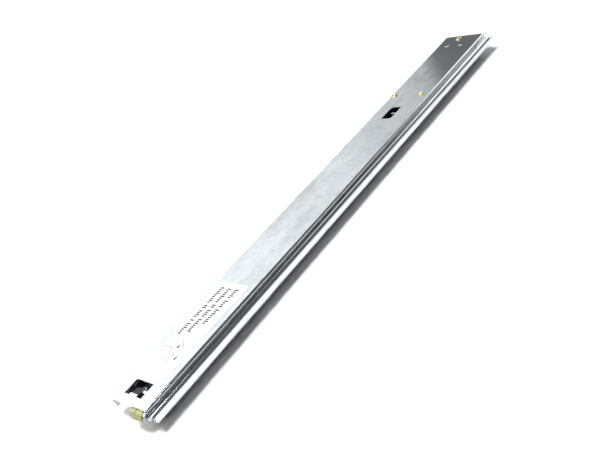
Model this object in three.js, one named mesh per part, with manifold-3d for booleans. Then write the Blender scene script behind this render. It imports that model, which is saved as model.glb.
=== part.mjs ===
// Cabinet drawer slide, right-hand, closed. Millimetres, +Z up.
//
// X runs across the slide, Y along it from the front of the cabinet (low Y) to the back, Z up.
// Shapes are drawn from the top plate's left edge (x = 0), its front end (y = 0) and the surface
// that the slide lies on (z = 0). The last group moves them so that the origin is at the middle of
// the slide's underside.
//
// A cabinet rail, which is a bent channel with a side rail riveted to it, carries a roller at its
// front. A drawer rail, which is a wide plate with its edges turned down, rolls over that roller
// and carries a second roller near its back, which runs inside the channel.

import * as THREE from 'three';
import { mergeVertices } from 'three/addons/utils/BufferGeometryUtils.js';
import Module from 'manifold-3d';

const wasm = await Module();
wasm.setup();

// ---- driving dimensions -------------------------------------------------------------------
const LENGTH = 500; // drawer rail and side rail
const TRAVEL = 360; // how far the drawer rail runs out
const HEIGHT = 18.6; // underside of the channel to the top of the plate
const GAP = 0.3; // between pieces that touch on the real slide
const STEEL = 1.5; // sheet of both main rails
const BEND = 1.25; // middle radius of a bend in that sheet

const PLATE_WIDTH = 45;
const FLANGE_DROP = 11.4; // left edge of the plate, turned down
const WALL_DROP = 4; // right edge of the plate, turned down
const PLATE_UNDER = HEIGHT - STEEL;

const WEB_X = 42.35; // middle of the channel's upright web
const CHANNEL_WALL_X = 22.95; // middle of its left wall
const SHELF_Z = 9.85; // middle of the shelf left of that wall
const SHELF_EDGE_X = 8.75; // middle of the lip at the shelf's left edge
const LIP_TOP = HEIGHT - 4.6;
const TRACK_TOP_Z = 13.25; // middle of the flange that holds the rear roller down
const TRACK_TOP_TIP_X = 34;
const CHANNEL_FRONT = 9.5;
const CHANNEL_BACK = 484;

const ROLLER_RADIUS = 5.2;
const AXLE_RADIUS = 1.6;
const AXLE_HOLE = 1.9;
const FRONT_AXLE = { y: 0.9, z: PLATE_UNDER - GAP - ROLLER_RADIUS };
const REAR_AXLE = { y: 386.5, z: STEEL + GAP + ROLLER_RADIUS };
const NOSE_RADIUS = 4.8; // round front end of the web, about the front axle

const SIDE_STEEL = 1.4;
const ARCH = { x: 46.4, y: 11.7, radius: 2.2 }; // middle line of the side rail's ridge
const GUTTER = { x: 50.4, y: 11.3, radius: 1.8 }; // middle line of the side rail's gutter
const GUTTER_RIM = HEIGHT - 4.3;
const SIDE_WALL_BOTTOM = 3.1; // the side rail's inner wall, which is riveted to the web
const SIDE_WALL_FRONT = 7; // that wall stops short of the front axle's head

// Front window of the plate, with a spring tongue and a short finger reaching into it.
const WINDOW = { left: 12.4, right: 31.5, front: 6.9, back: 19.9 };
const WINDOW_FINGER = { tip: 28.1, front: 11.6, back: 13.5 };
const TONGUE = { left: 17.8, right: 26.0, root: 8.9, tip: 15.4, drop: 2, sheet: 1.1, step: 0.2 };
const REAR_WINDOW = { left: 14.5, right: 25.3, front: 345.5, back: 365, corner: 2 };
const REAR_WINDOW_FINGER = { tip: 20.6, front: 353.6, back: 355.2 };
const FRONT_CORNER = 3.2; // cut off the plate's front left corner
const FLANGE_END = { front: 480, drop: 4 }; // the left flange is cut away behind this
const WALL_NOTCH = { front: 477.2, back: 479.4, slope: 0.5, drop: 1.7 };

const CARRIER = { left: 2.6, right: 38.5, front: 378, back: 395, sheet: 1.5, corner: 2 };
const CARRIER_TOP = PLATE_UNDER - GAP;
const CARRIER_LEG = { left: 25.2, sheet: 1.2, halfWidth: 5.5, endRadius: 4.3 };
const LOCATOR = { left: 12.4, right: 24.8, front: 489, back: 498.6, bottom: 11.2 };

const RIVET_HOLE = 1.9;
const PLATE_RIVETS = {
  carrier_rivet_left: { x: 4.4, y: REAR_AXLE.y },
  carrier_rivet_right: { x: 34.6, y: REAR_AXLE.y },
  locator_rivet: { x: 18.6, y: 494 },
};
const SIDE_RIVET_YS = [30, 135, 240, 345, 450];
const SIDE_RIVET_Z = 7.4;
const FIXING_HOLES = [[16, 18], [18.5, 350], [16, 180]]; // in the shelf, two under the windows
const FIXING_RADIUS = 2.1;
const BRACKET_HOLES = [[11.8, 481], [27.2, 481]]; // through the plate, near its back end
const BRACKET_RADIUS = 2.75;

// Along the axles, from x to x.
const FRONT_ROLLER = [26.5, 41.1];
const REAR_ROLLER = [26.9, 39.3];
const ROLLER_BORE = 3;
const BUSH_RADIUS = 2.75;
const BUSH_PROUD = 0.2; // at each end of its roller
const FRONT_WASHER = { from: 25.3, to: 26, radius: 3.2 };
const REAR_WASHER = { from: 39.8, to: 40.5, radius: 3 };
const FRONT_AXLE_END = 24.1; // headed over beside the front washer
const REAR_AXLE_END = 41.25; // headed over beside the rear washer

const STOP = { x: 27.4, left: 24.5, right: 31, depth: 5.6, top: 9.6, peg: 1.8, play: 1 };
const STOP_OFFSET = CARRIER_LEG.endRadius + STOP.play + GAP + STOP.depth / 2;
const STOP_YS = {
  open_stop: REAR_AXLE.y - TRAVEL - STOP_OFFSET,
  closed_stop: REAR_AXLE.y + STOP_OFFSET,
};

const GLIDE = { halfWidth: 2.2, front: 10, back: 15.5, bottom: 12.25 };
const LABEL = { left: 6.5, right: 37.5, front: 27, back: 119, corner: 2, lift: 0.05, paper: 0.2 };

const ROUND = 40; // segments of a large round
const SMALL_ROUND = 24; // segments of a rivet, bush or hole

// ---- materials ----------------------------------------------------------------------------
const finish = (color, roughness, metalness) => () =>
  new THREE.MeshStandardMaterial({ color, roughness, metalness });
const zincSteel = finish(0xc3cad0, 0.32, 0.9);
const channelSteel = finish(0xaab0b6, 0.38, 0.9);
const yellowZinc = finish(0xc9b25c, 0.35, 0.85);
const rollerNylon = finish(0x96945a, 0.5, 0);
const blackNylon = finish(0x1d1f20, 0.5, 0);
const blackRubber = finish(0x202020, 0.85, 0);
const axleSteel = finish(0x8f9499, 0.3, 0.95);
const labelPaper = finish(0xf4f5f5, 0.6, 0);

// ---- solids -------------------------------------------------------------------------------
function toSolid(geometry) {
  const bare = geometry.clone();
  bare.deleteAttribute('normal');
  bare.deleteAttribute('uv');
  const merged = mergeVertices(bare, 1e-5);
  return new wasm.Manifold(new wasm.Mesh({
    numProp: 3,
    vertProperties: new Float32Array(merged.attributes.position.array),
    triVerts: new Uint32Array(merged.index.array),
  }));
}

function toGeometry(solid) {
  const mesh = solid.getMesh();
  const geometry = new THREE.BufferGeometry();
  geometry.setAttribute('position', new THREE.BufferAttribute(mesh.vertProperties, 3));
  geometry.setIndex(new THREE.BufferAttribute(mesh.triVerts, 1));
  return geometry;
}

const join = (...geometries) =>
  toGeometry(geometries.map(toSolid).reduce((all, next) => all.add(next)));
const cut = (body, ...tools) =>
  toGeometry(tools.map(toSolid).reduce((all, next) => all.subtract(next), toSolid(body)));

// ---- shapes -------------------------------------------------------------------------------
function outline(points) {
  return new THREE.Shape(points.map(([x, y]) => new THREE.Vector2(x, y)));
}

function roundedRectangle(left, low, right, high, radius) {
  const shape = new THREE.Shape();
  shape.moveTo(left + radius, low);
  shape.absarc(right - radius, low + radius, radius, -Math.PI / 2, 0, false);
  shape.absarc(right - radius, high - radius, radius, 0, Math.PI / 2, false);
  shape.absarc(left + radius, high - radius, radius, Math.PI / 2, Math.PI, false);
  shape.absarc(left + radius, low + radius, radius, Math.PI, Math.PI * 1.5, false);
  return shape;
}

// The middle line of a bent sheet: straight from one bend to the next. A bend is its centre, its
// radius and the angles that it runs between, in quarter turns.
function middleLine(start, bends, end) {
  const path = new THREE.Path();
  path.moveTo(...start);
  for (const { x, y, radius, from, to } of bends) {
    const [first, last] = [from, to].map((quarters) => quarters * Math.PI / 2);
    path.lineTo(x + radius * Math.cos(first), y + radius * Math.sin(first));
    path.absarc(x, y, radius, first, last, last < first);
  }
  path.lineTo(...end);
  return path;
}

// A middle line thickened evenly to both sides.
function sheetSection(middle, thickness) {
  const points = middle.getPoints(4)
    .filter((point, i, all) => i === 0 || point.distanceTo(all[i - 1]) > 1e-6);
  const normals = points.slice(1).map((point, i) => {
    const along = point.clone().sub(points[i]).normalize();
    return new THREE.Vector2(-along.y, along.x);
  });
  const offsets = points.map((_, i) => {
    const before = normals[Math.max(i - 1, 0)];
    const after = normals[Math.min(i, normals.length - 1)];
    return before.clone().add(after).multiplyScalar(thickness / 2 / (1 + before.dot(after)));
  });
  const one = points.map((point, i) => point.clone().add(offsets[i]));
  const other = points.map((point, i) => point.clone().sub(offsets[i]));
  return new THREE.Shape([...one, ...other.reverse()]);
}

const extrude = (shape, depth) =>
  new THREE.ExtrudeGeometry(shape, { depth, bevelEnabled: false, curveSegments: 10 });

// A section drawn across the slide (x, z), run along it from one y to another.
const runAlong = (shape, front, back) =>
  extrude(shape, back - front).rotateX(Math.PI / 2).translate(0, back, 0);

// An outline drawn from above (x, y), raised from one z to another.
const raise = (shape, low, high) => extrude(shape, high - low).translate(0, 0, low);

// An outline drawn from the right side (y, z), carried across from one x to another.
const carryAcross = (shape, left, right) =>
  extrude(shape, right - left).rotateX(Math.PI / 2).rotateZ(Math.PI / 2).translate(left, 0, 0);

function block(left, right, front, back, low, high) {
  return new THREE.BoxGeometry(right - left, back - front, high - low)
    .translate((left + right) / 2, (front + back) / 2, (low + high) / 2);
}

// A turned piece: [radius, height] pairs from one end of the axis to the other, axis along Z.
const turned = (pairs, segments) =>
  new THREE.LatheGeometry(pairs.map(([r, h]) => new THREE.Vector2(r, h)), segments)
    .rotateX(Math.PI / 2);
const turnedAcross = (pairs, segments, { y, z }) =>
  turned(pairs, segments).rotateY(Math.PI / 2).translate(0, y, z);

const holeDown = (x, y, radius) =>
  new THREE.CylinderGeometry(radius, radius, HEIGHT * 3, SMALL_ROUND)
    .rotateX(Math.PI / 2).translate(x, y, 0);
const holeAcross = (x, { y, z }, radius, depth) =>
  new THREE.CylinderGeometry(radius, radius, depth, SMALL_ROUND)
    .rotateZ(Math.PI / 2).translate(x, y, z);

// ---- drawer rail --------------------------------------------------------------------------
function frontWindow() {
  const { left, right, front, back } = WINDOW;
  const finger = WINDOW_FINGER;
  return outline([
    [left, front], [TONGUE.left, front], [TONGUE.left, TONGUE.root],
    [TONGUE.right, TONGUE.root], [TONGUE.right, front], [right, front],
    [right, finger.front], [finger.tip, finger.front], [finger.tip, finger.back],
    [right, finger.back], [right, back], [left, back],
  ]);
}

function rearWindow() {
  const { left, right, front, back, corner } = REAR_WINDOW;
  const finger = REAR_WINDOW_FINGER;
  return outline([
    [left, front], [right - corner, front], [right, front + corner], [right, finger.front],
    [finger.tip, finger.front], [finger.tip, finger.back], [right, finger.back],
    [right, back], [left + corner, back], [left, back - corner],
  ]);
}

// The spring tongue in the front window, bent slightly down from the plate.
function tongue() {
  const { left, right, root, tip, drop, sheet, step } = TONGUE;
  const top = HEIGHT - step;
  const side = outline([
    [root - 1, top], [root, top], [tip, top - drop],
    [tip, top - drop - sheet], [root, top - sheet], [root - 1, top - sheet],
  ]);
  return carryAcross(side, left, right);
}

function drawerRail() {
  const half = STEEL / 2;
  const top = HEIGHT - half;
  const middle = middleLine([half, HEIGHT - FLANGE_DROP], [
    { x: half + BEND, y: top - BEND, radius: BEND, from: 2, to: 1 },
    { x: PLATE_WIDTH - half - BEND, y: top - BEND, radius: BEND, from: 1, to: 0 },
  ], [PLATE_WIDTH - half, HEIGHT - WALL_DROP]);
  const sheet = runAlong(sheetSection(middle, STEEL), 0, LENGTH);

  const frontCorner = outline([[-1, -1], [FRONT_CORNER, -1], [1.4, 0.8], [-1, FRONT_CORNER]]);
  const flangeEnd = block(-1, 2.6, FLANGE_END.front, LENGTH + 1, -1, HEIGHT - FLANGE_END.drop);
  const { front, back, slope, drop } = WALL_NOTCH;
  const wallNotch = outline([
    [front, HEIGHT - WALL_DROP - 1], [back, HEIGHT - WALL_DROP - 1],
    [back - slope, HEIGHT - drop], [front + slope, HEIGHT - drop],
  ]);
  return join(
    cut(
      sheet,
      raise(frontWindow(), PLATE_UNDER - 1, HEIGHT + 1),
      raise(rearWindow(), PLATE_UNDER - 1, HEIGHT + 1),
      raise(frontCorner, 0, HEIGHT + 1),
      flangeEnd,
      carryAcross(wallNotch, PLATE_WIDTH - 2 * STEEL, PLATE_WIDTH + 1),
      ...BRACKET_HOLES.map(([x, y]) => holeDown(x, y, BRACKET_RADIUS)),
      ...Object.values(PLATE_RIVETS).map(({ x, y }) => holeDown(x, y, RIVET_HOLE)),
    ),
    tongue(),
  );
}

// A plate with a leg under it: the plate is riveted to the drawer rail, the leg holds the axle.
function rollerCarrier() {
  const { left, right, front, back, sheet, corner } = CARRIER;
  const { halfWidth, endRadius } = CARRIER_LEG;
  const { y, z } = REAR_AXLE;
  const plate = raise(
    roundedRectangle(left, front, right, back, corner), CARRIER_TOP - sheet, CARRIER_TOP,
  );
  const side = new THREE.Shape();
  side.moveTo(y + halfWidth, CARRIER_TOP - sheet / 2);
  side.lineTo(y - halfWidth, CARRIER_TOP - sheet / 2);
  side.lineTo(y - endRadius, z + endRadius);
  side.absarc(y, z, endRadius, Math.PI, Math.PI * 2, false);
  side.lineTo(y + endRadius, z + endRadius);
  const leg = carryAcross(side, CARRIER_LEG.left, CARRIER_LEG.left + CARRIER_LEG.sheet);
  const { carrier_rivet_left: one, carrier_rivet_right: other } = PLATE_RIVETS;
  return cut(
    join(plate, leg),
    holeAcross(CARRIER_LEG.left, REAR_AXLE, AXLE_HOLE, 6),
    holeDown(one.x, one.y, RIVET_HOLE),
    holeDown(other.x, other.y, RIVET_HOLE),
  );
}

// A small angle under the plate's back end, which locates the drawer's back panel.
function rearLocator() {
  const { left, right, front, back, bottom } = LOCATOR;
  const top = CARRIER_TOP - CARRIER.sheet / 2;
  const bend = { x: back - BEND, y: top - BEND, radius: BEND, from: 1, to: 0 };
  const middle = middleLine([front, top], [bend], [back, bottom]);
  const angle = carryAcross(sheetSection(middle, CARRIER.sheet), left, right);
  const { x, y } = PLATE_RIVETS.locator_rivet;
  return cut(angle, holeDown(x, y, RIVET_HOLE));
}

// A rivet set from above: low domed head with a dimple, shank, and a flat tail under the sheets.
function plateRivet({ x, y }) {
  const under = CARRIER_TOP - CARRIER.sheet - GAP;
  return turned([
    [0, under - 0.7], [1.7, under - 0.7], [2.2, under - 0.3], [2.2, under], [1.6, under],
    [1.6, HEIGHT + 0.1], [3.2, HEIGHT + 0.1], [3.1, HEIGHT + 0.5], [2.6, HEIGHT + 0.95],
    [1.7, HEIGHT + 1.2], [0.9, HEIGHT + 1.1], [0.6, HEIGHT + 0.7], [0, HEIGHT + 0.6],
  ], SMALL_ROUND).translate(x, y, 0);
}

// ---- cabinet rail -------------------------------------------------------------------------
function channelSection() {
  const half = STEEL / 2;
  const radius = BEND;
  const middle = middleLine([TRACK_TOP_TIP_X, TRACK_TOP_Z], [
    { x: WEB_X - BEND, y: TRACK_TOP_Z - BEND, radius, from: 1, to: 0 },
    { x: WEB_X - BEND, y: half + BEND, radius, from: 0, to: -1 },
    { x: CHANNEL_WALL_X + BEND, y: half + BEND, radius, from: 3, to: 2 },
    { x: CHANNEL_WALL_X - BEND, y: SHELF_Z - BEND, radius, from: 0, to: 1 },
    { x: SHELF_EDGE_X + BEND, y: SHELF_Z + BEND, radius, from: 3, to: 2 },
  ], [SHELF_EDGE_X, LIP_TOP]);
  return sheetSection(middle, STEEL);
}

// The web carried forward past the channel, with a round nose about the front axle.
function noseLug() {
  const { y, z } = FRONT_AXLE;
  const side = new THREE.Shape();
  side.moveTo(y, z + NOSE_RADIUS);
  side.absarc(y, z, NOSE_RADIUS, Math.PI / 2, Math.PI * 1.35, false);
  side.lineTo(CHANNEL_FRONT, 2.4);
  side.lineTo(20, 2.4);
  side.lineTo(20, TRACK_TOP_Z - 2);
  side.lineTo(13, z + NOSE_RADIUS);
  return carryAcross(side, WEB_X - STEEL / 2, WEB_X + STEEL / 2);
}

function cabinetRail() {
  const sideRivets = SIDE_RIVET_YS.map((y) => ({ y, z: SIDE_RIVET_Z }));
  return cut(
    join(runAlong(channelSection(), CHANNEL_FRONT, CHANNEL_BACK), noseLug()),
    holeAcross(WEB_X, FRONT_AXLE, AXLE_HOLE, 8),
    ...sideRivets.map((spot) => holeAcross(WEB_X, spot, RIVET_HOLE, 6)),
    ...FIXING_HOLES.map(([x, y]) => holeDown(x, y, FIXING_RADIUS)),
    ...Object.values(STOP_YS).map((y) => holeDown(STOP.x, y, STOP.peg + GAP)),
  );
}

function sideRail() {
  const middle = middleLine([ARCH.x - ARCH.radius, SIDE_WALL_BOTTOM], [
    { ...ARCH, from: 2, to: 0 },
    { ...GUTTER, from: 2, to: 4 },
  ], [GUTTER.x + GUTTER.radius, GUTTER_RIM]);
  const wallX = ARCH.x - ARCH.radius;
  return cut(
    runAlong(sheetSection(middle, SIDE_STEEL), 0, LENGTH),
    block(wallX - 1.2, wallX + 1.1, -1, SIDE_WALL_FRONT, 0, FRONT_AXLE.z + 2.9),
    ...SIDE_RIVET_YS.map((y) => holeAcross(wallX, { y, z: SIDE_RIVET_Z }, RIVET_HOLE, 3.2)),
  );
}

// A rivet from the side rail into the channel's web, flush on the roller's side.
function sideRivet(y) {
  const face = ARCH.x - ARCH.radius + SIDE_STEEL / 2;
  return turnedAcross([
    [0, WEB_X - STEEL / 2 + 0.1], [1.6, WEB_X - STEEL / 2 + 0.1], [1.6, face + 0.1],
    [2.7, face + 0.1], [2.5, face + 0.6], [1.6, face + 1], [0, face + 1.1],
  ], SMALL_ROUND, { y, z: SIDE_RIVET_Z });
}

// ---- rollers and axles --------------------------------------------------------------------
// A roller with rounded rims and a shallow groove round its middle.
function roller([left, right], axle) {
  const centre = (left + right) / 2;
  const rim = 0.6;
  const groove = ROLLER_RADIUS - 0.35;
  return turnedAcross([
    [ROLLER_BORE, left], [ROLLER_RADIUS - rim, left], [ROLLER_RADIUS - 0.2, left + 0.25],
    [ROLLER_RADIUS, left + rim], [ROLLER_RADIUS, centre - 0.9], [groove, centre - 0.5],
    [groove, centre + 0.5], [ROLLER_RADIUS, centre + 0.9],
    [ROLLER_RADIUS, right - rim], [ROLLER_RADIUS - 0.2, right - 0.25],
    [ROLLER_RADIUS - rim, right], [ROLLER_BORE, right], [ROLLER_BORE, left],
  ], ROUND, axle);
}

const ring = (inner, outer, left, right, axle) => turnedAcross([
  [inner, left], [outer, left], [outer, right], [inner, right], [inner, left],
], SMALL_ROUND, axle);
const washer = ({ from, to, radius }, axle) => ring(AXLE_HOLE, radius, from, to, axle);
const bush = ([left, right], axle) =>
  ring(AXLE_HOLE, BUSH_RADIUS, left - BUSH_PROUD, right + BUSH_PROUD, axle);

function frontAxle() {
  const face = WEB_X + STEEL / 2 + GAP;
  return turnedAcross([
    [0, FRONT_AXLE_END], [1.7, FRONT_AXLE_END], [2.3, FRONT_AXLE_END + 0.4],
    [2.3, FRONT_AXLE_END + 1], [AXLE_RADIUS, FRONT_AXLE_END + 1], [AXLE_RADIUS, face],
    [2.6, face], [2.6, face + 0.7], [2.1, face + 1.2], [1.2, face + 1.4], [0, face + 1.4],
  ], SMALL_ROUND, FRONT_AXLE);
}

function rearAxle() {
  const face = CARRIER_LEG.left - GAP;
  return turnedAcross([
    [0, face - 0.8], [2.2, face - 0.8], [2.4, face - 0.5], [2.4, face], [AXLE_RADIUS, face],
    [AXLE_RADIUS, REAR_AXLE_END - 0.55], [2.2, REAR_AXLE_END - 0.55],
    [2.2, REAR_AXLE_END - 0.25], [1.8, REAR_AXLE_END], [0, REAR_AXLE_END],
  ], SMALL_ROUND, REAR_AXLE);
}

// ---- stops and glide ----------------------------------------------------------------------
// A rubber buffer standing on the channel's floor, with a peg through it.
function stop(y) {
  const shape = roundedRectangle(STOP.left, y - STOP.depth / 2, STOP.right, y + STOP.depth / 2, 1);
  const body = raise(shape, STEEL + 0.1, STOP.top);
  const peg = new THREE.CylinderGeometry(STOP.peg, STOP.peg, 2, SMALL_ROUND)
    .rotateX(Math.PI / 2).translate(STOP.x, y, 1.2);
  return join(body, peg);
}

// A nylon cap over the shelf's lip at the front, which the plate slides on.
function frontGlide() {
  const { halfWidth, front, back, bottom } = GLIDE;
  const section = roundedRectangle(
    SHELF_EDGE_X - halfWidth, bottom, SHELF_EDGE_X + halfWidth, PLATE_UNDER - GAP, 0.8,
  );
  const slot = STEEL / 2 + GAP;
  return cut(
    runAlong(section, front, back),
    block(SHELF_EDGE_X - slot, SHELF_EDGE_X + slot, 0, 30, 0, LIP_TOP + GAP),
  );
}

function label() {
  const { left, right, front, back, corner, lift, paper } = LABEL;
  const under = HEIGHT + lift;
  return raise(roundedRectangle(left, front, right, back, corner), under, under + paper);
}

// ---- assembly -----------------------------------------------------------------------------
function piece(name, geometry, material) {
  const mesh = new THREE.Mesh(geometry, material());
  mesh.name = name;
  return mesh;
}

function cabinetSide() {
  const group = new THREE.Group();
  group.add(
    piece('cabinet_rail', cabinetRail(), channelSteel),
    piece('side_rail', sideRail(), zincSteel),
    piece('front_axle', frontAxle(), axleSteel),
    piece('front_washer', washer(FRONT_WASHER, FRONT_AXLE), axleSteel),
    piece('front_glide', frontGlide(), blackNylon),
    ...Object.entries(STOP_YS).map(([name, y]) => piece(name, stop(y), blackRubber)),
    ...SIDE_RIVET_YS.map((y, i) => piece(`side_rivet_${i + 1}`, sideRivet(y), axleSteel)),
  );
  return group;
}

function drawerSide() {
  const group = new THREE.Group();
  group.add(
    piece('drawer_rail', drawerRail(), zincSteel),
    piece('roller_carrier', rollerCarrier(), yellowZinc),
    piece('rear_locator', rearLocator(), yellowZinc),
    piece('rear_axle', rearAxle(), axleSteel),
    piece('rear_washer', washer(REAR_WASHER, REAR_AXLE), axleSteel),
    piece('label', label(), labelPaper),
    ...Object.entries(PLATE_RIVETS).map(([name, at]) => piece(name, plateRivet(at), yellowZinc)),
  );
  return group;
}

function rollers() {
  const group = new THREE.Group();
  group.add(
    piece('front_roller', roller(FRONT_ROLLER, FRONT_AXLE), rollerNylon),
    piece('front_bush', bush(FRONT_ROLLER, FRONT_AXLE), axleSteel),
    piece('rear_roller', roller(REAR_ROLLER, REAR_AXLE), rollerNylon),
    piece('rear_bush', bush(REAR_ROLLER, REAR_AXLE), axleSteel),
  );
  return group;
}

const slide = new THREE.Group();
slide.add(cabinetSide(), drawerSide(), rollers());
const rightEdge = GUTTER.x + GUTTER.radius + SIDE_STEEL / 2;
const frontEnd = FRONT_AXLE.y - ROLLER_RADIUS;
slide.position.set(-rightEdge / 2, -(frontEnd + LENGTH) / 2, 0);

export default slide;
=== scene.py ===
"""A right-hand cabinet drawer slide, closed, on a plain pale floor.

Shapes are drawn in millimetres, from the top plate's left edge (x = 0), its front end (y = 0) and the floor
(z = 0), as the part itself is, and finished() moves each mesh into the frame, in metres. Lights, cards and
the camera are placed in metres, in the frame.
"""

import math

import bmesh
import bpy
from mathutils import Matrix, Vector

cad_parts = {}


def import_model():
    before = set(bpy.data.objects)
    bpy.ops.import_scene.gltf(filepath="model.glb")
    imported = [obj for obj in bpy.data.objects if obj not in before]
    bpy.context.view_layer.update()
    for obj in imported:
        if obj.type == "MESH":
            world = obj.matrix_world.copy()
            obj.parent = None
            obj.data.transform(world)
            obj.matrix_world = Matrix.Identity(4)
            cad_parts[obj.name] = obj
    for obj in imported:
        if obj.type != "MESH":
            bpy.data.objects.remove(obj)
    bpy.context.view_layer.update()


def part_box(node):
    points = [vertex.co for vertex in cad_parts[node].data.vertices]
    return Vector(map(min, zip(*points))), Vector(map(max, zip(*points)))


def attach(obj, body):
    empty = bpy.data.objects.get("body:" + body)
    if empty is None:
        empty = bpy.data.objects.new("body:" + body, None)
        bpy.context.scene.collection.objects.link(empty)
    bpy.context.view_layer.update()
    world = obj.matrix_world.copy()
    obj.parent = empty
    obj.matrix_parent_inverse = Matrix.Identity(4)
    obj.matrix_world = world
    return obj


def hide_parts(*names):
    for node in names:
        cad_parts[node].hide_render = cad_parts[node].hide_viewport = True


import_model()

MM = 0.001
PLATE_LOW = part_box("drawer_rail")[0]
DRAWN_ORIGIN = Vector((PLATE_LOW.x, PLATE_LOW.y, 0))

# ---- the part's own dimensions --------------------------------------------------------------------------
LENGTH = 500
HEIGHT = 18.6
GAP = 0.3
STEEL = 1.5
BEND = 1.25  # radius of a bend, at the middle of the sheet
RIVET_HOLE = 1.9
RIVET_SHANK = 1.6
HEAD_GAP = 0.1

PLATE_WIDTH = 45
PLATE_UNDER = HEIGHT - STEEL
FLANGE_DROP = 11.4
WALL_DROP = 4
WINDOW = {"left": 12.4, "right": 31.5, "low": 6.9, "high": 19.9}
WINDOW_FINGER = {"tip": 28.1, "low": 11.6, "high": 13.5}
REAR_WINDOW = {"left": 14.5, "right": 25.3, "low": 345.5, "high": 365, "chamfer": 2}
REAR_WINDOW_FINGER = {"tip": 20.6, "low": 353.6, "high": 355.2}
WINDOW_CORNER = 0.5
TONGUE = {"left": 17.8, "right": 26.0, "root": 8.9, "tip": 15.4, "drop": 2.0, "sheet": 1.1, "step": 0.2}
FRONT_CORNER = [(3.2, -1), (1.4, 0.8), (-1, 3.2)]  # x, y
FLANGE_END = {"front": 480, "top": HEIGHT - 4, "corner": 1.2, "right": 2.6}
WALL_NOTCH = [(477.2, 13.6), (479.4, 13.6), (478.9, 16.9), (477.7, 16.9)]  # y, z
PLATE_RIVETS = {  # x, y
    "carrier_rivet_left": (4.4, 386.5),
    "carrier_rivet_right": (34.6, 386.5),
    "locator_rivet": (18.6, 494),
}
BRACKET_HOLES = [(11.8, 481), (27.2, 481)]
BRACKET_RADIUS = 2.75

CARRIER_TOP = PLATE_UNDER - GAP
CARRIER_SHEET = 1.5
CARRIER = {"left": 2.6, "right": 38.5, "front": 378, "back": 395, "corner": 2}
LEG = {"left": 25.2, "sheet": 1.2, "end_radius": 4.3, "half_width": 5.5}
LOCATOR = {"left": 12.4, "right": 24.8, "front": 489, "back": 498.6, "bottom": 11.2}

WEB_X = 42.35
CHANNEL_WALL_X = 22.95
SHELF_Z = 9.85
SHELF_EDGE_X = 8.75
LIP_TOP = 14.0
TRACK_TOP_Z = 13.25
TRACK_TOP_TIP_X = 34
CHANNEL_FRONT = 9.5
CHANNEL_BACK = 484
NOSE_RADIUS = 4.8
NOSE_BOTTOM = 2.4
NOSE_ROOT = 20
FIXING_HOLES = [(16, 18), (18.5, 350), (16, 180)]
FIXING_RADIUS = 2.1

SIDE_STEEL = 1.4
ARCH = (46.4, 11.7, 2.2)  # x, z, radius of the middle line
GUTTER = (50.4, 11.3, 1.8)
GUTTER_RIM = HEIGHT - 4.3
SIDE_WALL_BOTTOM = 3.1
SIDE_WALL_FRONT = 7
SIDE_CORNER_TOP = 14.5
SIDE_RIVET_YS = [30, 135, 240, 345, 450]
SIDE_RIVET_Z = 7.4

FRONT_AXLE = (0.9, 11.6)  # y, z
REAR_AXLE = (386.5, 7.0)
AXLE_RADIUS = 1.6
AXLE_HOLE = 1.9
ROLLER_RADIUS = 5.2
ROLLER_BORE = 3.0
FRONT_ROLLER = (26.5, 41.1)  # from x to x
REAR_ROLLER = (26.9, 39.3)
BUSH_RADIUS = 2.75
BUSH_OVERHANG = 0.2
FRONT_WASHER = {"radius": 3.2, "left": 25.3, "right": 26}
REAR_WASHER = {"radius": 3, "left": 39.8, "right": 40.5}
FRONT_AXLE_END = 24.1
REAR_AXLE_END = 40.7

STOP_X = 27.4
STOPS = {"open_stop": 18.1, "closed_stop": 394.9}
STOP_BLOCK = {"left": 24.5, "right": 31, "half_length": 2.8, "top": 9.6}
STOP_HOLE = 2.1
STOP_PEG = 1.8
GLIDE = {"half_width": 2.2, "bottom": 12.25, "front": 10, "back": 15.5, "slot": 1.05, "slot_top": 14.3}
LABEL = {"left": 6.5, "right": 37.5, "front": 27, "back": 119, "corner": 2}
LABEL_TOP = 18.85
LABEL_SHEET = 0.2
PRINT_TOP = LABEL_TOP + 0.02
PRINT_ROWS = [  # x of a row, how it leans, and the blocks in each of its words
    (29.0, -0.07, [5, 4, 8]),
    (21.0, -0.04, [8, 2, 4, 7]),
    (13.0, -0.02, [9, 2, 4, 1, 6]),
]
PRINT_FIRST = 113.8
BLOCK = {"pitch": 2.0, "space": 1.7, "thick": 1.5, "short": 3.2, "tall": 4.4, "under": 1.8}

CAMERA_PLACE = (0.41695, -0.37615, 0.3095)  # metres, in the frame
CAMERA_AXES = (  # right, up and back
    (0.7219, 0.5679, -0.3955),
    (-0.0651, 0.6247, 0.7781),
    (0.6890, -0.5360, 0.4879),
)
CAMERA_LENS = 45.16
CARD_RADIUS = 1.6
CARD_STEPS = 16

ARC_STEPS = 12  # steps in a quarter turn of a bend
ROUND_STEPS = 72  # steps round a roller, an axle or a hole
EDGE = 0.16  # rounding of a cut sheet edge


# ---- outlines --------------------------------------------------------------------------------------------
def arc(centre, radius, first, last, steps):
    """Points on an arc, its angles in quarter turns."""
    turns = [first + (last - first) * i / steps for i in range(steps + 1)]
    points = []
    for angle in (turn * math.pi / 2 for turn in turns):
        points.append(Vector((centre[0] + radius * math.cos(angle), centre[1] + radius * math.sin(angle))))
    return points


def without_doubles(points):
    kept = [points[0]]
    for point in points[1:]:
        if (point - kept[-1]).length > 1e-4:
            kept.append(point)
    return kept


def middle_line(start, bends, end):
    """Straight from one bend to the next. A bend is (x, y, radius, first, last), in quarter turns."""
    points = [Vector(start)]
    for x, y, radius, first, last in bends:
        points += arc((x, y), radius, first, last, round(ARC_STEPS * abs(last - first)))
    points.append(Vector(end))
    return without_doubles(points)


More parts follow.
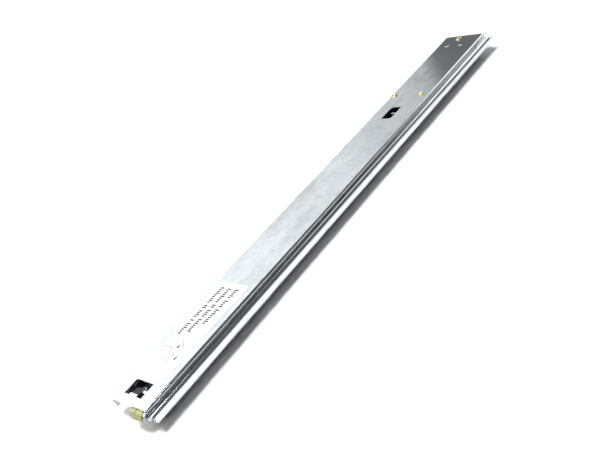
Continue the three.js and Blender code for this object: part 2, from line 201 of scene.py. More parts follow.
def sheet_outline(middle, thickness):
    """A middle line thickened evenly to both sides."""
    normals = []
    for a, b in zip(middle, middle[1:]):
        along = (b - a).normalized()
        normals.append(Vector((-along.y, along.x)))
    offsets = []
    for i in range(len(middle)):
        before, after = normals[max(i - 1, 0)], normals[min(i, len(normals) - 1)]
        offsets.append((before + after) * (thickness / 2 / (1 + before.dot(after))))
    one = [p + o for p, o in zip(middle, offsets)]
    other = [p - o for p, o in zip(middle, offsets)]
    return one + other[::-1]


def filleted(corners, radius, steps=5):
    """A polygon with each corner rounded."""
    points = []
    corners = [Vector(corner) for corner in corners]
    for i, corner in enumerate(corners):
        back, ahead = corners[i - 1] - corner, corners[(i + 1) % len(corners)] - corner
        reach = min(radius, back.length * 0.45, ahead.length * 0.45)
        a, b = corner + back.normalized() * reach, corner + ahead.normalized() * reach
        for k in range(steps + 1):
            t = k / steps
            points.append(a * (1 - t) ** 2 + corner * (2 * t * (1 - t)) + b * t**2)
    return without_doubles(points)


def rectangle(left, low, right, high, radius, steps=6):
    return filleted([(left, low), (right, low), (right, high), (left, high)], radius, steps)


# ---- solids ----------------------------------------------------------------------------------------------
def mesh_object(name, bm):
    bmesh.ops.recalc_face_normals(bm, faces=bm.faces)
    mesh = bpy.data.meshes.new(name)
    bm.to_mesh(mesh)
    bm.free()
    made = bpy.data.objects.new(name, mesh)
    bpy.context.scene.collection.objects.link(made)
    return made


AXES = {  # where an outline's two directions and its depth go
    "x": lambda a, b, depth: (depth, a, b),
    "y": lambda a, b, depth: (a, depth, b),
    "z": lambda a, b, depth: (a, b, depth),
}


def add_prism(bm, outline, axis, low, high):
    rings = [[bm.verts.new(AXES[axis](p[0], p[1], depth)) for p in outline] for depth in (low, high)]
    bm.faces.new(rings[0])
    bm.faces.new(rings[1])
    count = len(outline)
    for i in range(count):
        k = (i + 1) % count
        bm.faces.new((rings[0][i], rings[0][k], rings[1][k], rings[1][i]))


def prism(name, outline, axis, low, high):
    bm = bmesh.new()
    add_prism(bm, outline, axis, low, high)
    return mesh_object(name, bm)


def prisms(name, parts):
    """Several separate prisms in one mesh: (outline, axis, low, high) each."""
    bm = bmesh.new()
    for part in parts:
        add_prism(bm, *part)
    return mesh_object(name, bm)


def circle(centre, radius, steps=ROUND_STEPS):
    return arc(centre, radius, 0, 4, steps)[:-1]


def turned(name, profile, axis, centre):
    """A lathed solid. profile is (radius, place along the axis), closed on itself or from axis to axis."""
    bm = bmesh.new()
    closed = profile[0] == profile[-1]
    pairs = profile[:-1] if closed else profile
    rings = []
    for radius, place in pairs:
        if radius == 0:
            rings.append([bm.verts.new(on_axis(axis, centre, 0, 0, place))])
            continue
        ring = [
            bm.verts.new(on_axis(axis, centre, radius * math.cos(a), radius * math.sin(a), place))
            for a in (2 * math.pi * i / ROUND_STEPS for i in range(ROUND_STEPS))
        ]
        rings.append(ring)
    joined = list(zip(rings, rings[1:])) + ([(rings[-1], rings[0])] if closed else [])
    for one, other in joined:
        for i in range(ROUND_STEPS):
            k = (i + 1) % ROUND_STEPS
            if len(one) == 1:
                bm.faces.new((one[0], other[i], other[k]))
            elif len(other) == 1:
                bm.faces.new((one[i], one[k], other[0]))
            else:
                bm.faces.new((one[i], one[k], other[k], other[i]))
    return mesh_object(name, bm)


def on_axis(axis, centre, u, v, place):
    if axis == "x":
        return (place, centre[0] + u, centre[1] + v)
    return (centre[0] + u, centre[1] + v, place)


def apply_modifiers(obj):
    graph = bpy.context.evaluated_depsgraph_get()
    mesh = bpy.data.meshes.new_from_object(obj.evaluated_get(graph))
    obj.modifiers.clear()
    obj.data = mesh


def boolean(target, tool, operation):
    modifier = target.modifiers.new("boolean", "BOOLEAN")
    modifier.operation = operation
    modifier.solver = "EXACT"
    modifier.object = tool
    apply_modifiers(target)
    bpy.data.objects.remove(tool)


def cut(target, parts):
    boolean(target, prisms("cutter", parts), "DIFFERENCE")


def round_edges(obj, width, segments=3, limit=32):
    modifier = obj.modifiers.new("edges", "BEVEL")
    modifier.width = width
    modifier.segments = segments
    modifier.limit_method = "ANGLE"
    modifier.angle_limit = math.radians(limit)
    modifier.use_clamp_overlap = True
    modifier.miter_outer = "MITER_ARC"
    apply_modifiers(obj)


def finished(obj, body, slot, material, *nodes, sharp=46):
    """Moves a mesh drawn in millimetres into the frame, smooths it, and hands it to its body."""
    obj.data.transform(Matrix.Translation(DRAWN_ORIGIN) @ Matrix.Scale(MM, 4))
    for polygon in obj.data.polygons:
        polygon.use_smooth = True
    obj.data.set_sharp_from_angle(angle=math.radians(sharp))
    weighted = obj.modifiers.new("normals", "WEIGHTED_NORMAL")
    weighted.keep_sharp = True
    weighted.weight = 90
    apply_modifiers(obj)
    obj.data.materials.clear()
    obj.data.materials.append(material)
    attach(obj, body)
    if nodes:
        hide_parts(*nodes)


# ---- materials -------------------------------------------------------------------------------------------
class Surface:
    """A Principled material under construction, with texture coordinates in millimetres of the object."""

    def __init__(self, name, **sockets):
        self.material = bpy.data.materials.new(name)
        self.material.use_nodes = True
        self.tree = self.material.node_tree
        self.shader = self.tree.nodes["Principled BSDF"]
        for socket, value in sockets.items():
            self.shader.inputs[socket.replace("_", " ")].default_value = value
        self.place = self.node("ShaderNodeTexCoord").outputs["Object"]
        self.heights = []

    def node(self, kind, **settings):
        made = self.tree.nodes.new(kind)
        for key, value in settings.items():
            setattr(made, key, value)
        return made

    def link(self, source, target):
        self.tree.links.new(source, target)

    def scaled(self, scale):
        """Coordinates with the given number of features to a millimetre along x, y and z."""
        mapping = self.node("ShaderNodeMapping")
        mapping.inputs["Scale"].default_value = [s / MM for s in scale]
        self.link(self.place, mapping.inputs["Vector"])
        return mapping.outputs["Vector"]

    def noise(self, scale, detail=3, roughness=0.55, distortion=0.0):
        made = self.node("ShaderNodeTexNoise")
        made.inputs["Scale"].default_value = 1
        made.inputs["Detail"].default_value = detail
        made.inputs["Roughness"].default_value = roughness
        made.inputs["Distortion"].default_value = distortion
        self.link(self.scaled(scale), made.inputs["Vector"])
        return made.outputs["Fac"]

    def cells(self, scale):
        made = self.node("ShaderNodeTexVoronoi")
        made.inputs["Scale"].default_value = 1
        self.link(self.scaled(scale), made.inputs["Vector"])
        split = self.node("ShaderNodeSeparateColor")
        self.link(made.outputs["Color"], split.inputs["Color"])
        return split.outputs["Red"]

    def ramp(self, source, low, high, to_low=0.0, to_high=1.0):
        made = self.node("ShaderNodeMapRange")
        made.inputs["From Min"].default_value = low
        made.inputs["From Max"].default_value = high
        made.inputs["To Min"].default_value = to_low
        made.inputs["To Max"].default_value = to_high
        self.link(source, made.inputs["Value"])
        return made.outputs["Result"]

    def math(self, operation, a, b):
        made = self.node("ShaderNodeMath", operation=operation)
        for socket, value in zip(made.inputs, (a, b)):
            if isinstance(value, (int, float)):
                socket.default_value = value
            else:
                self.link(value, socket)
        return made.outputs[0]

    def mix(self, factor, a, b):
        made = self.node("ShaderNodeMix", data_type="RGBA")
        for socket, value in zip((made.inputs[0], made.inputs[6], made.inputs[7]), (factor, a, b)):
            if isinstance(value, (int, float)):
                socket.default_value = value
            elif isinstance(value, tuple):
                socket.default_value = (*value, 1)
            else:
                self.link(value, socket)
        return made.outputs[2]

    def colour(self, source):
        self.link(source, self.shader.inputs["Base Color"])

    def rough(self, source):
        self.link(source, self.shader.inputs["Roughness"])

    def relief(self, *layers):
        """Bump from (height, millimetres from the lowest to the highest) layers."""
        normal = None
        for height, depth in layers:
            bump = self.node("ShaderNodeBump")
            bump.inputs["Strength"].default_value = 1
            bump.inputs["Distance"].default_value = depth * MM
            self.link(height, bump.inputs["Height"])
            if normal is not None:
                self.link(normal, bump.inputs["Normal"])
            normal = bump.outputs["Normal"]
        self.link(normal, self.shader.inputs["Normal"])


def plated_sheet(name, bright, dull, rough_low, rough_high, waviness):
    """Zinc-plated rolled sheet: cloudy plating, streaks along the slide, fine scratches and a slight wave."""
    s = Surface(name, Metallic=1.0)
    clouds = s.noise((0.05, 0.022, 0.05), detail=4, distortion=0.6)
    mottle = s.noise((0.22, 0.13, 0.22), detail=5, roughness=0.6)
    streaks = s.noise((1.1, 0.012, 1.1), detail=2)
    grain = s.noise((3, 1.4, 3), detail=2)
    crystals = s.cells((0.55, 0.4, 0.55))
    scratches = s.ramp(s.noise((3.2, 0.03, 3.2), detail=2, distortion=0.9), 0.66, 0.72)

    plating = s.mix(s.ramp(clouds, 0.35, 0.68), bright, dull)
    tarnish = s.mix(s.ramp(mottle, 0.5, 0.78), plating, tuple(0.78 * c for c in dull))
    patchy = s.math("MULTIPLY", s.ramp(mottle, 0.45, 0.7), 0.55)
    blend = s.mix(patchy, plating, tarnish)
    s.colour(s.mix(s.math("MULTIPLY", crystals, 0.16), blend, tuple(min(1.0, 1.08 * c) for c in bright)))

    spread = s.math("ADD", s.math("MULTIPLY", clouds, 0.5), s.math("MULTIPLY", mottle, 0.3))
    spread = s.math("ADD", spread, s.math("MULTIPLY", streaks, 0.2))
    worn = s.ramp(spread, 0.35, 0.65, rough_low, rough_high)
    s.rough(s.math("ADD", worn, s.math("MULTIPLY", scratches, 0.12)))
    s.relief(
        (s.noise((0.028, 0.012, 0.028), detail=1), 0.1 * waviness),
        (mottle, 0.006 * waviness),
        (streaks, 0.0016),
        (grain, 0.0006),
        (scratches, -0.0012),
    )
    return s.material


def yellow_plated():
    """Zinc plating with a yellow passivation that turns pink and green in places."""
    s = Surface("yellow_zinc", Metallic=1.0)
    tint = s.noise((0.35, 0.35, 0.35), detail=3, distortion=0.5)
    fine = s.noise((2.5, 2.5, 2.5), detail=3)
    gold = s.mix(s.ramp(tint, 0.38, 0.6), (0.76, 0.6, 0.26), (0.7, 0.67, 0.38))
    s.colour(s.mix(s.ramp(fine, 0.5, 0.75), gold, (0.62, 0.42, 0.26)))
    s.rough(s.ramp(fine, 0.3, 0.7, 0.2, 0.36))
    s.relief((fine, 0.006), (tint, 0.01))
    return s.material


def turned_steel():
    s = Surface("axle_steel", Metallic=1.0)
    rings = s.noise((9, 0.6, 0.6), detail=2)
    stain = s.noise((0.6, 0.6, 0.6), detail=4)
    s.colour(s.mix(s.ramp(stain, 0.4, 0.7), (0.62, 0.64, 0.66), (0.44, 0.43, 0.42)))
    s.rough(s.ramp(rings, 0.3, 0.7, 0.2, 0.38))
    s.relief((rings, 0.004), (stain, 0.004))
    return s.material


def roller_nylon():
    """Moulded nylon, gone olive, with grease on it and a scuffed running track."""
    s = Surface("roller_nylon", Specular_IOR_Level=0.5, Subsurface_Weight=0.12, Subsurface_Scale=0.001)
    s.shader.inputs["Subsurface Radius"].default_value = (1.0, 0.9, 0.35)
    cloud = s.noise((0.28, 0.22, 0.22), detail=4, distortion=0.4)
    fine = s.noise((2.2, 2.2, 2.2), detail=4)
    base = s.mix(s.ramp(cloud, 0.36, 0.66), (0.25, 0.24, 0.08), (0.35, 0.335, 0.13))
    s.colour(s.mix(s.ramp(fine, 0.58, 0.8), base, (0.2, 0.19, 0.06)))
    s.rough(s.ramp(cloud, 0.35, 0.65, 0.3, 0.5))
    s.relief((fine, 0.012), (cloud, 0.03))
    return s.material


def black_plastic(name, light, dark, rough_low, rough_high):
    s = Surface(name)
    cloud = s.noise((0.5, 0.5, 0.5), detail=3)
    fine = s.noise((6, 6, 6), detail=3)
    s.colour(s.mix(s.ramp(cloud, 0.35, 0.7), dark, light))
    s.rough(s.ramp(cloud, 0.35, 0.65, rough_low, rough_high))
    s.relief((fine, 0.02))
    return s.material


def paper():
    """Coated sticker paper with faint fibres, a little yellowed towards one side."""
    s = Surface("label_paper", Coat_Weight=0.25, Coat_Roughness=0.3)
    fibres = s.noise((1.4, 5, 1.4), detail=4)
    age = s.noise((0.03, 0.02, 0.03), detail=2)
    white = s.mix(s.ramp(age, 0.3, 0.7), (0.93, 0.94, 0.95), (0.9, 0.905, 0.89))
    s.colour(s.mix(s.math("MULTIPLY", s.ramp(fibres, 0.55, 0.8), 0.25), white, (0.82, 0.83, 0.83)))
    s.rough(s.ramp(fibres, 0.3, 0.7, 0.45, 0.6))
    s.relief((fibres, 0.006), (age, 0.2))
    return s.material


def ink(name, solid, worn):
    s = Surface(name)
    wear = s.noise((2.4, 2.4, 2.4), detail=4)
    s.colour(s.mix(s.ramp(wear, 0.5, 0.75), solid, worn))
    s.rough(s.ramp(wear, 0.3, 0.7, 0.4, 0.6))
    s.relief((wear, 0.004))
    return s.material


ZINC = plated_sheet("zinc_steel", (0.8, 0.83, 0.85), (0.68, 0.715, 0.745), 0.1, 0.2, 1.0)
# The side rail's zinc is drawn darker and bluer than the plate's, to deepen the bands along its side: painted
# shade.
SIDE_ZINC_PAINTED_SHADE = plated_sheet("side_zinc_steel_painted_shade", (0.76, 0.79, 0.83), (0.64, 0.67, 0.71), 0.1, 0.2, 0.3)
CHANNEL = plated_sheet("channel_steel", (0.42, 0.44, 0.47), (0.32, 0.34, 0.37), 0.18, 0.3, 1.0)
YELLOW = yellow_plated()
STEEL_BAR = turned_steel()
NYLON = roller_nylon()
BLACK_NYLON = black_plastic("black_nylon", (0.028, 0.03, 0.032), (0.012, 0.013, 0.014), 0.34, 0.5)
RUBBER = black_plastic("black_rubber", (0.03, 0.03, 0.03), (0.014, 0.014, 0.014), 0.7, 0.88)
PAPER = paper()
INK = ink("label_ink", (0.025, 0.025, 0.028), (0.08, 0.08, 0.083))
PALE_INK = ink("label_pale_ink", (0.07, 0.07, 0.073), (0.16, 0.16, 0.163))


# ---- drawer rail -----------------------------------------------------------------------------------------
def window_outline(window, finger):
    """The front window, with the root of the tongue and a finger standing into it."""
    return filleted(
        [
            (window["left"], window["low"]), (TONGUE["left"], window["low"]),
            (TONGUE["left"], TONGUE["root"]), (TONGUE["right"], TONGUE["root"]),
            (TONGUE["right"], window["low"]), (window["right"], window["low"]),
            (window["right"], finger["low"]), (finger["tip"], finger["low"]),
            (finger["tip"], finger["high"]), (window["right"], finger["high"]),
            (window["right"], window["high"]), (window["left"], window["high"]),
        ],
        WINDOW_CORNER,
    )


def rear_window_outline(window, finger):
    """The rear window, with two cut corners and a finger standing into it."""
    left, right, low, high, chamfer = window.values()
    return filleted(
        [
            (left, low), (right - chamfer, low), (right, low + chamfer),
            (right, finger["low"]), (finger["tip"], finger["low"]),
            (finger["tip"], finger["high"]), (right, finger["high"]),
            (right, high), (left + chamfer, high), (left, high - chamfer),
        ],
        WINDOW_CORNER,
    )


def tongue():
    """A strip bent down into the front window."""
    root, tip, sheet = TONGUE["root"], TONGUE["tip"], TONGUE["sheet"]
    level = HEIGHT - TONGUE["step"]
    end = level - TONGUE["drop"]
    side = [
        (root - 1, level), (root, level), (tip, end), (tip, end - sheet),
        (root, level - sheet), (root - 1, level - sheet),
    ]
    return prism("tongue", side, "x", TONGUE["left"], TONGUE["right"])


def drawer_rail():
    half = STEEL / 2
    top = HEIGHT - half
    middle = middle_line(
        (half, HEIGHT - FLANGE_DROP),
        [
            (half + BEND, top - BEND, BEND, 2, 1),
            (PLATE_WIDTH - half - BEND, top - BEND, BEND, 1, 0),
        ],
        (PLATE_WIDTH - half, HEIGHT - WALL_DROP),
    )
    rail = prism("drawer_rail_sheet", sheet_outline(middle, STEEL), "y", 0, LENGTH)
    through = (PLATE_UNDER - 1, HEIGHT + 1)
    front, top_z, past = FLANGE_END["front"], FLANGE_END["top"], LENGTH + 1
    flange_end = filleted([(front, -1), (past, -1), (past, top_z), (front, top_z)], FLANGE_END["corner"])
    cut(
        rail,
        [
            (window_outline(WINDOW, WINDOW_FINGER), "z", *through),
            (rear_window_outline(REAR_WINDOW, REAR_WINDOW_FINGER), "z", *through),
            ([(-1, -1)] + FRONT_CORNER, "z", 0, HEIGHT + 1),
            (flange_end, "x", -1, FLANGE_END["right"]),
            (WALL_NOTCH, "x", PLATE_WIDTH - 3, PLATE_WIDTH + 1),
        ]
        + [(circle(spot, BRACKET_RADIUS), "z", *through) for spot in BRACKET_HOLES]
        + [(circle(spot, RIVET_HOLE), "z", *through) for spot in PLATE_RIVETS.values()],
    )
    boolean(rail, tongue(), "UNION")
    round_edges(rail, EDGE)
    finished(rail, "drawer", "zinc_steel", ZINC, "drawer_rail")


def roller_carrier():
    y, z = REAR_AXLE
    left, right, front, back, corner = CARRIER.values()
    outline = rectangle(left, front, right, back, corner)
    plate = prism("roller_carrier_plate", outline, "z", CARRIER_TOP - CARRIER_SHEET, CARRIER_TOP)
    half, end, root = LEG["half_width"], LEG["end_radius"], CARRIER_TOP - CARRIER_SHEET / 2
    side = [Vector((y + half, root)), Vector((y - half, root)), Vector((y - end, z + end))]
    side += arc((y, z), end, 2, 4, 24)
    side.append(Vector((y + end, z + end)))
    boolean(plate, prism("leg", side, "x", LEG["left"], LEG["left"] + LEG["sheet"]), "UNION")
    rivets = (PLATE_RIVETS["carrier_rivet_left"], PLATE_RIVETS["carrier_rivet_right"])
    holes = [(circle(spot, RIVET_HOLE), "z", 10, HEIGHT) for spot in rivets]
    cut(plate, holes + [(circle(REAR_AXLE, AXLE_HOLE), "x", LEG["left"] - 2, LEG["left"] + 3)])
    round_edges(plate, EDGE)
    finished(plate, "drawer", "yellow_zinc", YELLOW, "roller_carrier")


def rear_locator():
    top = CARRIER_TOP - CARRIER_SHEET / 2
    back = LOCATOR["back"]
    middle = middle_line(
        (LOCATOR["front"], top), [(back - BEND, top - BEND, BEND, 1, 0)], (back, LOCATOR["bottom"])
    )
    outline = sheet_outline(middle, CARRIER_SHEET)
    angle = prism("rear_locator_angle", outline, "x", LOCATOR["left"], LOCATOR["right"])
    cut(angle, [(circle(PLATE_RIVETS["locator_rivet"], RIVET_HOLE), "z", 12, HEIGHT)])
    round_edges(angle, EDGE)
    finished(angle, "drawer", "yellow_zinc", YELLOW, "rear_locator")


def plate_rivet(name, spot):
    """A rivet from its upset end under the carrier, through its shank, to a domed head with a dimple."""
    under = CARRIER_TOP - CARRIER_SHEET - GAP
    head = HEIGHT + HEAD_GAP
    profile = [(0, under - 0.7), (1.5, under - 0.7), (1.95, under - 0.58), (2.2, under - 0.3), (2.2, under)]
    profile += [(RIVET_SHANK, under), (RIVET_SHANK, head)]
    rim = [(3.15, 0), (3.2, 0.08), (3.16, 0.25), (3.02, 0.42), (2.8, 0.6)]
    dome = [(2.5, 0.76), (2.2, 0.9), (1.95, 1.0), (1.75, 1.07), (1.6, 1.1), (1.45, 1.08)]
    dimple = [(1.25, 0.98), (1.0, 0.74), (0.75, 0.56), (0.45, 0.46), (0, 0.42)]
    profile += [(radius, head + rise) for radius, rise in rim + dome + dimple]
    finished(turned(name + "_head", profile, "z", spot), "drawer", "yellow_zinc", YELLOW, name)


# ---- cabinet rail ----------------------------------------------------------------------------------------
def cabinet_rail():
    half = STEEL / 2
    middle = middle_line(
        (TRACK_TOP_TIP_X, TRACK_TOP_Z),
        [
            (WEB_X - BEND, TRACK_TOP_Z - BEND, BEND, 1, 0),
            (WEB_X - BEND, half + BEND, BEND, 0, -1),
            (CHANNEL_WALL_X + BEND, half + BEND, BEND, 3, 2),
            (CHANNEL_WALL_X - BEND, SHELF_Z - BEND, BEND, 0, 1),
            (SHELF_EDGE_X + BEND, SHELF_Z + BEND, BEND, 3, 2),
        ],
        (SHELF_EDGE_X, LIP_TOP),
    )
    rail = prism("cabinet_rail_channel", sheet_outline(middle, STEEL), "y", CHANNEL_FRONT, CHANNEL_BACK)
    y, z = FRONT_AXLE
    nose = arc((y, z), NOSE_RADIUS, 1, 2.7, 36)
    nose += [Vector((CHANNEL_FRONT, NOSE_BOTTOM)), Vector((NOSE_ROOT, NOSE_BOTTOM))]
    nose += [Vector((NOSE_ROOT, TRACK_TOP_Z - 2)), Vector((NOSE_ROOT - 7, z + NOSE_RADIUS))]
    boolean(rail, prism("nose", nose, "x", WEB_X - half, WEB_X + half), "UNION")
    cut(
        rail,
        [(circle(FRONT_AXLE, AXLE_HOLE), "x", WEB_X - 4, WEB_X + 4)]
        + [(circle((at, SIDE_RIVET_Z), RIVET_HOLE), "x", WEB_X - 3, WEB_X + 3) for at in SIDE_RIVET_YS]
        + [(circle(spot, FIXING_RADIUS), "z", SHELF_Z - 3, SHELF_Z + 3) for spot in FIXING_HOLES]
        + [(circle((STOP_X, at), STOP_HOLE), "z", -2, 3) for at in STOPS.values()],
    )
    round_edges(rail, EDGE)
    finished(rail, "cabinet", "channel_steel", CHANNEL, "cabinet_rail")


def side_rail():
    wall = ARCH[0] - ARCH[2]
    middle = middle_line(
        (wall, SIDE_WALL_BOTTOM), [(*ARCH, 2, 0), (*GUTTER, 2, 4)], (GUTTER[0] + GUTTER[2], GUTTER_RIM)
    )
    rail = prism("side_rail_sheet", sheet_outline(middle, SIDE_STEEL), "y", 0, LENGTH)
    left, right = wall - 1.2, wall + 1.1
    corner = [(left, 0), (right, 0), (right, SIDE_CORNER_TOP), (left, SIDE_CORNER_TOP)]
    cut(
        rail,
        [(corner, "y", -1, SIDE_WALL_FRONT)]
        + [(circle((at, SIDE_RIVET_Z), RIVET_HOLE), "x", wall - 1.6, wall + 1.6) for at in SIDE_RIVET_YS],
    )
    round_edges(rail, EDGE)
    finished(rail, "cabinet", "zinc_steel", SIDE_ZINC_PAINTED_SHADE, "side_rail")


def side_rivet(number, y):
    web = WEB_X - STEEL / 2 + HEAD_GAP
    face = ARCH[0] - ARCH[2] + SIDE_STEEL / 2 + HEAD_GAP
    profile = [(0, web), (1.5, web), (RIVET_SHANK, web + 0.1), (RIVET_SHANK, face)]
    profile += [(2.65, face), (2.7, face + 0.06)]
    dome = [(2.66, 0.22), (2.5, 0.46), (2.2, 0.68), (1.8, 0.84), (1.3, 0.95), (0.7, 1.0), (0, 1.0)]
    profile += [(radius, face + rise) for radius, rise in dome]
    piece = turned(f"side_rivet_{number}_head", profile, "x", (y, SIDE_RIVET_Z))
    finished(piece, "cabinet", "axle_steel", STEEL_BAR, f"side_rivet_{number}")


# ---- rollers and axles -----------------------------------------------------------------------------------
def roller(name, ends, axle):
    """Rounded rims, a shallow groove round the middle, and a moulded recess in each face."""
    left, right = ends
    hub, rim, recess = 3.5, 0.7, 0.3
    radius = ROLLER_RADIUS
    lip, wall = radius - 0.9, radius - 1.05
    profile = [(ROLLER_BORE, left), (hub, left), (hub + 0.12, left + recess)]
    profile += [(wall, left + recess), (lip, left)]
    profile += [(p.x, p.y) for p in arc_pairs(radius - rim, left + rim, rim, -1, 0)]
    half_groove = [(0, 0.95), (-0.08, 0.8), (-0.3, 0.55), (-0.35, 0.4)]
    groove = [(depth, -place) for depth, place in half_groove] + half_groove[::-1]
    profile += [(radius + depth, (left + right) / 2 + place) for depth, place in groove]
    profile += [(p.x, p.y) for p in arc_pairs(radius - rim, right - rim, rim, 0, 1)]
    profile += [(lip, right), (wall, right - recess), (hub + 0.12, right - recess), (hub, right)]
    profile += [(ROLLER_BORE, right), (ROLLER_BORE, left)]
    finished(turned(name + "_tread", profile, "x", axle), name, "roller_nylon", NYLON, name, sharp=40)


def arc_pairs(radius_centre, place_centre, radius, first, last):
    """The rounded rim of a roller, as (radius, place) points."""
    return arc((radius_centre, place_centre), radius, first, last, 8)


def sleeve(name, body, inner, outer, left, right, axle):
    edge = 0.12
    profile = [(inner, left + edge), (inner + edge, left), (outer - edge, left), (outer, left + edge)]
    profile += [(outer, right - edge), (outer - edge, right), (inner + edge, right), (inner, right - edge)]
    profile.append(profile[0])
    finished(turned(name + "_ring", profile, "x", axle), body, "axle_steel", STEEL_BAR, name, sharp=60)


def bush(name, body, ends, axle):
    sleeve(name, body, AXLE_HOLE, BUSH_RADIUS, ends[0] - BUSH_OVERHANG, ends[1] + BUSH_OVERHANG, axle)


def washer(name, body, size, axle):
    sleeve(name, body, AXLE_HOLE, size["radius"], size["left"], size["right"], axle)


def axles():
    """Each axle from its left end to its right: a head, the shank, and the riveted or headed other end."""
    end, face = FRONT_AXLE_END, WEB_X + STEEL / 2 + GAP
    front = [(0, end), (1.5, end), (2.0, end + 0.1), (2.3, end + 0.4), (2.3, end + 1)]
    front += [(AXLE_RADIUS, end + 1), (AXLE_RADIUS, face)]
    front += [(2.55, face), (2.6, face + 0.06), (2.6, face + 0.6), (2.5, face + 0.9), (2.25, face + 1.15)]
    front += [(1.9, face + 1.3), (1.4, face + 1.38), (0.9, face + 1.4), (0.8, face + 1.2), (0, face + 1.15)]
    pin = turned("front_axle_pin", front, "x", FRONT_AXLE)
    finished(pin, "cabinet", "axle_steel", STEEL_BAR, "front_axle")
    left, end = LEG["left"] - GAP, REAR_AXLE_END
    rear = [(0, left - 0.8), (1.9, left - 0.8), (2.25, left - 0.7), (2.4, left - 0.5), (2.4, left)]
    rear += [(AXLE_RADIUS, left), (AXLE_RADIUS, end), (2.15, end), (2.2, end + 0.06), (2.18, end + 0.3)]
    rear += [(1.9, end + 0.5), (1.6, end + 0.55), (0, end + 0.55)]
    pin = turned("rear_axle_pin", rear, "x", REAR_AXLE)
    finished(pin, "drawer", "axle_steel", STEEL_BAR, "rear_axle")


# ---- stops, glide and label ------------------------------------------------------------------------------
def stop(name, y):
    half = STOP_BLOCK["half_length"]
    outline = rectangle(STOP_BLOCK["left"], y - half, STOP_BLOCK["right"], y + half, 1)
    body = prism(name + "_block", outline, "z", STEEL + 0.1, STOP_BLOCK["top"])
    round_edges(body, 0.4)
    boolean(body, prism("peg", circle((STOP_X, y), STOP_PEG, 48), "z", 0.2, 2.2), "UNION")
    finished(body, "cabinet", "black_rubber", RUBBER, name)


def front_glide():
    left, right = SHELF_EDGE_X - GLIDE["half_width"], SHELF_EDGE_X + GLIDE["half_width"]
    outline = rectangle(left, GLIDE["bottom"], right, CARRIER_TOP, 0.8)
    body = prism("front_glide_cap", outline, "y", GLIDE["front"], GLIDE["back"])
    left, right = SHELF_EDGE_X - GLIDE["slot"], SHELF_EDGE_X + GLIDE["slot"]
    slot = [(left, 0), (right, 0), (right, GLIDE["slot_top"]), (left, GLIDE["slot_top"])]
    cut(body, [(slot, "y", 0, 30)])
    round_edges(body, 0.25)
    finished(body, "cabinet", "black_nylon", BLACK_NYLON, "front_glide")


def label():
    left, right, front, back, corner = LABEL.values()
    outline = rectangle(left, front, right, back, corner)
    sheet = prism("label_sheet", outline, "z", LABEL_TOP - LABEL_SHEET, LABEL_TOP)
    round_edges(sheet, 0.05, 2)
    finished(sheet, "drawer", "label_paper", PAPER, "label")


def print_lines():
    """Three lines of plain blocks, where printed words would be. They are no letters."""
    shapes = []
    for x, lean, words in PRINT_ROWS:
        y = PRINT_FIRST
        for count, size in enumerate(words):
            for k in range(size):
                is_tall = k == 0 or (k * 5 + size + count) % 4 == 0
                left = x - BLOCK["under"] + lean * (PRINT_FIRST - y)
                right = left + BLOCK["tall" if is_tall else "short"]
                shapes.append(rectangle(left, y - BLOCK["thick"], right, y, 0.2, 2))
                y -= BLOCK["pitch"]
            y -= BLOCK["space"]
    blocks = [(shape, "z", LABEL_TOP, PRINT_TOP) for shape in shapes]
    finished(prisms("label_print", blocks), "drawer", "label_paper", INK)


def stroke(a, b, width):
    a, b = Vector(a), Vector(b)
    along = (b - a).normalized()
    side = Vector((-along.y, along.x)) * width / 2
    return [a + side, b + side, b - side, a - side]


def print_sketch():
    """A plain outline of a rail and its bracket in thin lines, with two dots."""
    lines = [
        ((19.2, 52.6), (23.1, 59)), ((23.1, 59), (30.1, 51.6)), ((26, 45), (30.1, 51.6)),
        ((19.2, 52.6), (26, 45)), ((9.8, 51.3), (18.2, 51.1)), ((18.2, 51.1), (25.4, 37.2)),
        ((9.8, 51.3), (18.7, 37.9)), ((16.4, 51.1), (24, 37)),
    ]
    outline = [(stroke(a, b, 0.6), "z", LABEL_TOP, PRINT_TOP) for a, b in lines]
    finished(prisms("label_sketch", outline), "drawer", "label_paper", PALE_INK)
    shapes = [rectangle(21.9, 51.3, 24, 54.8, 0.9, 4), rectangle(28.8, 41.6, 30.7, 45.4, 0.8, 4)]
    dots = [(shape, "z", LABEL_TOP, PRINT_TOP) for shape in shapes]
    finished(prisms("label_dots", dots), "drawer", "label_paper", INK)


def build_slide():
    drawer_rail()
    roller_carrier()
    rear_locator()
    for name, spot in PLATE_RIVETS.items():
        plate_rivet(name, spot)
    cabinet_rail()
    side_rail()
    for number, y in enumerate(SIDE_RIVET_YS, 1):
        side_rivet(number, y)
    roller("front_roller", FRONT_ROLLER, FRONT_AXLE)
    roller("rear_roller", REAR_ROLLER, REAR_AXLE)
    bush("front_bush", "front_roller", FRONT_ROLLER, FRONT_AXLE)
    bush("rear_bush", "rear_roller", REAR_ROLLER, REAR_AXLE)
    washer("front_washer", "cabinet", FRONT_WASHER, FRONT_AXLE)
    washer("rear_washer", "drawer", REAR_WASHER, REAR_AXLE)
    axles()
    for name, y in STOPS.items():
        stop(name, y)
    front_glide()
    label()
    print_lines()
    print_sketch()


build_slide()


# ---- floor, light and camera -----------------------------------------------------------------------------
def floor():
    bm = bmesh.new()
    bmesh.ops.create_grid(bm, x_segments=8, y_segments=8, size=6)
    plane = mesh_object("floor", bm)
    s = Surface("floor", Roughness=0.9, Specular_IOR_Level=0.2)
    s.colour(s.mix(s.noise((0.01, 0.01, 0.01), detail=3), (0.9, 0.9, 0.895), (0.93, 0.93, 0.925)))
    plane.data.materials.append(s.material)


def point_at(obj, target):
    obj.rotation_euler = (Vector(target) - obj.location).to_track_quat("-Z", "Y").to_euler()


def area_light(name, location, size, power, target=(0, 0, 0)):
    lamp = bpy.data.lights.new(name, "AREA")
    lamp.shape = "RECTANGLE"
    lamp.size, lamp.size_y = size
    lamp.energy = power
    made = bpy.data.objects.new(name, lamp)
    made.location = location
    bpy.context.scene.collection.objects.link(made)
    point_at(made, target)


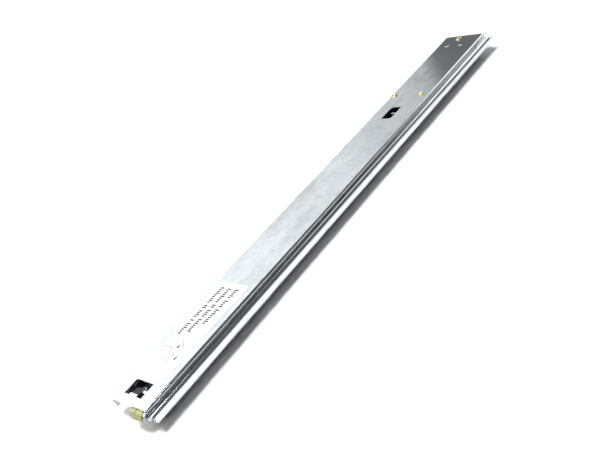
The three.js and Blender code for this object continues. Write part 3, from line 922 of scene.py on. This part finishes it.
def card(name, span, heights, glows, tint):
    """A curved glowing card standing round the slide, which its metal mirrors. span is in degrees round from
    -X towards +Y, heights are metres, and the glow runs from its first edge to its last."""
    bm = bmesh.new()
    layer = bm.verts.layers.float.new("glow")
    columns = []
    for i in range(CARD_STEPS + 1):
        share = i / CARD_STEPS
        angle = math.radians(span[0] + (span[1] - span[0]) * share)
        x, y = -CARD_RADIUS * math.cos(angle), CARD_RADIUS * math.sin(angle)
        column = [bm.verts.new((x, y, z)) for z in heights]
        for vertex in column:
            vertex[layer] = glows[0] + (glows[1] - glows[0]) * share
        columns.append(column)
    for one, other in zip(columns, columns[1:]):
        bm.faces.new((one[0], other[0], other[1], one[1]))
    made = mesh_object(name, bm)
    material = bpy.data.materials.new(name)
    material.use_nodes = True
    nodes, links = material.node_tree.nodes, material.node_tree.links
    nodes.clear()
    output = nodes.new("ShaderNodeOutputMaterial")
    emission = nodes.new("ShaderNodeEmission")
    strength = nodes.new("ShaderNodeAttribute")
    strength.attribute_name = "glow"
    emission.inputs["Color"].default_value = (*tint, 1)
    links.new(strength.outputs["Fac"], emission.inputs["Strength"])
    links.new(emission.outputs[0], output.inputs["Surface"])
    made.data.materials.append(material)


def world():
    made = bpy.data.worlds.new("studio")
    made.use_nodes = True
    background = made.node_tree.nodes["Background"]
    background.inputs["Color"].default_value = (0.08, 0.082, 0.086, 1)
    background.inputs["Strength"].default_value = 1
    bpy.context.scene.world = made


def camera():
    lens = bpy.data.cameras.new("camera")
    lens.sensor_width = 36
    lens.lens = CAMERA_LENS
    made = bpy.data.objects.new("camera", lens)
    turn = Matrix(CAMERA_AXES).transposed().to_4x4()
    made.matrix_world = Matrix.Translation(CAMERA_PLACE) @ turn
    bpy.context.scene.collection.objects.link(made)
    bpy.context.scene.camera = made


floor()
area_light("overhead", (0.02, -0.2, 1.15), (0.42, 0.42), 16.5, (0.02, 0, 0))
area_light("left", (-1.18, -0.83, 0.9), (0.9, 0.6), 15)
area_light("backdrop", (-1.9, 0.95, 1.5), (1.2, 1.2), 90, (-2.6, 1.3, 0))
card("card_left", (-12, 40), (0.8, 1.8), (1.8, 1.05), (0.95, 0.98, 1.0))
card("card_left_far", (40, 56.9), (0.52, 2.3), (1.05, 0.6), (0.95, 0.98, 1.0))
card("card_dark", (56.9, 68), (0.4, 1.4), (0.17, 0.17), (0.95, 0.98, 1.0))
card("card_high", (58, 96), (1.5, 2.6), (1.0, 1.0), (0.95, 0.98, 1.0))
card("card_back", (68, 117), (0.42, 1.48), (1.35, 1.35), (1.0, 1.0, 1.0))
card("card_right", (130, 235), (0.5, 2.4), (0.14, 0.16), (0.88, 0.94, 1.0))
card("card_front", (235, 335), (0.5, 1.6), (0.28, 0.28), (0.95, 0.98, 1.0))
world()
camera()
bpy.context.scene.view_settings.view_transform = "Standard"
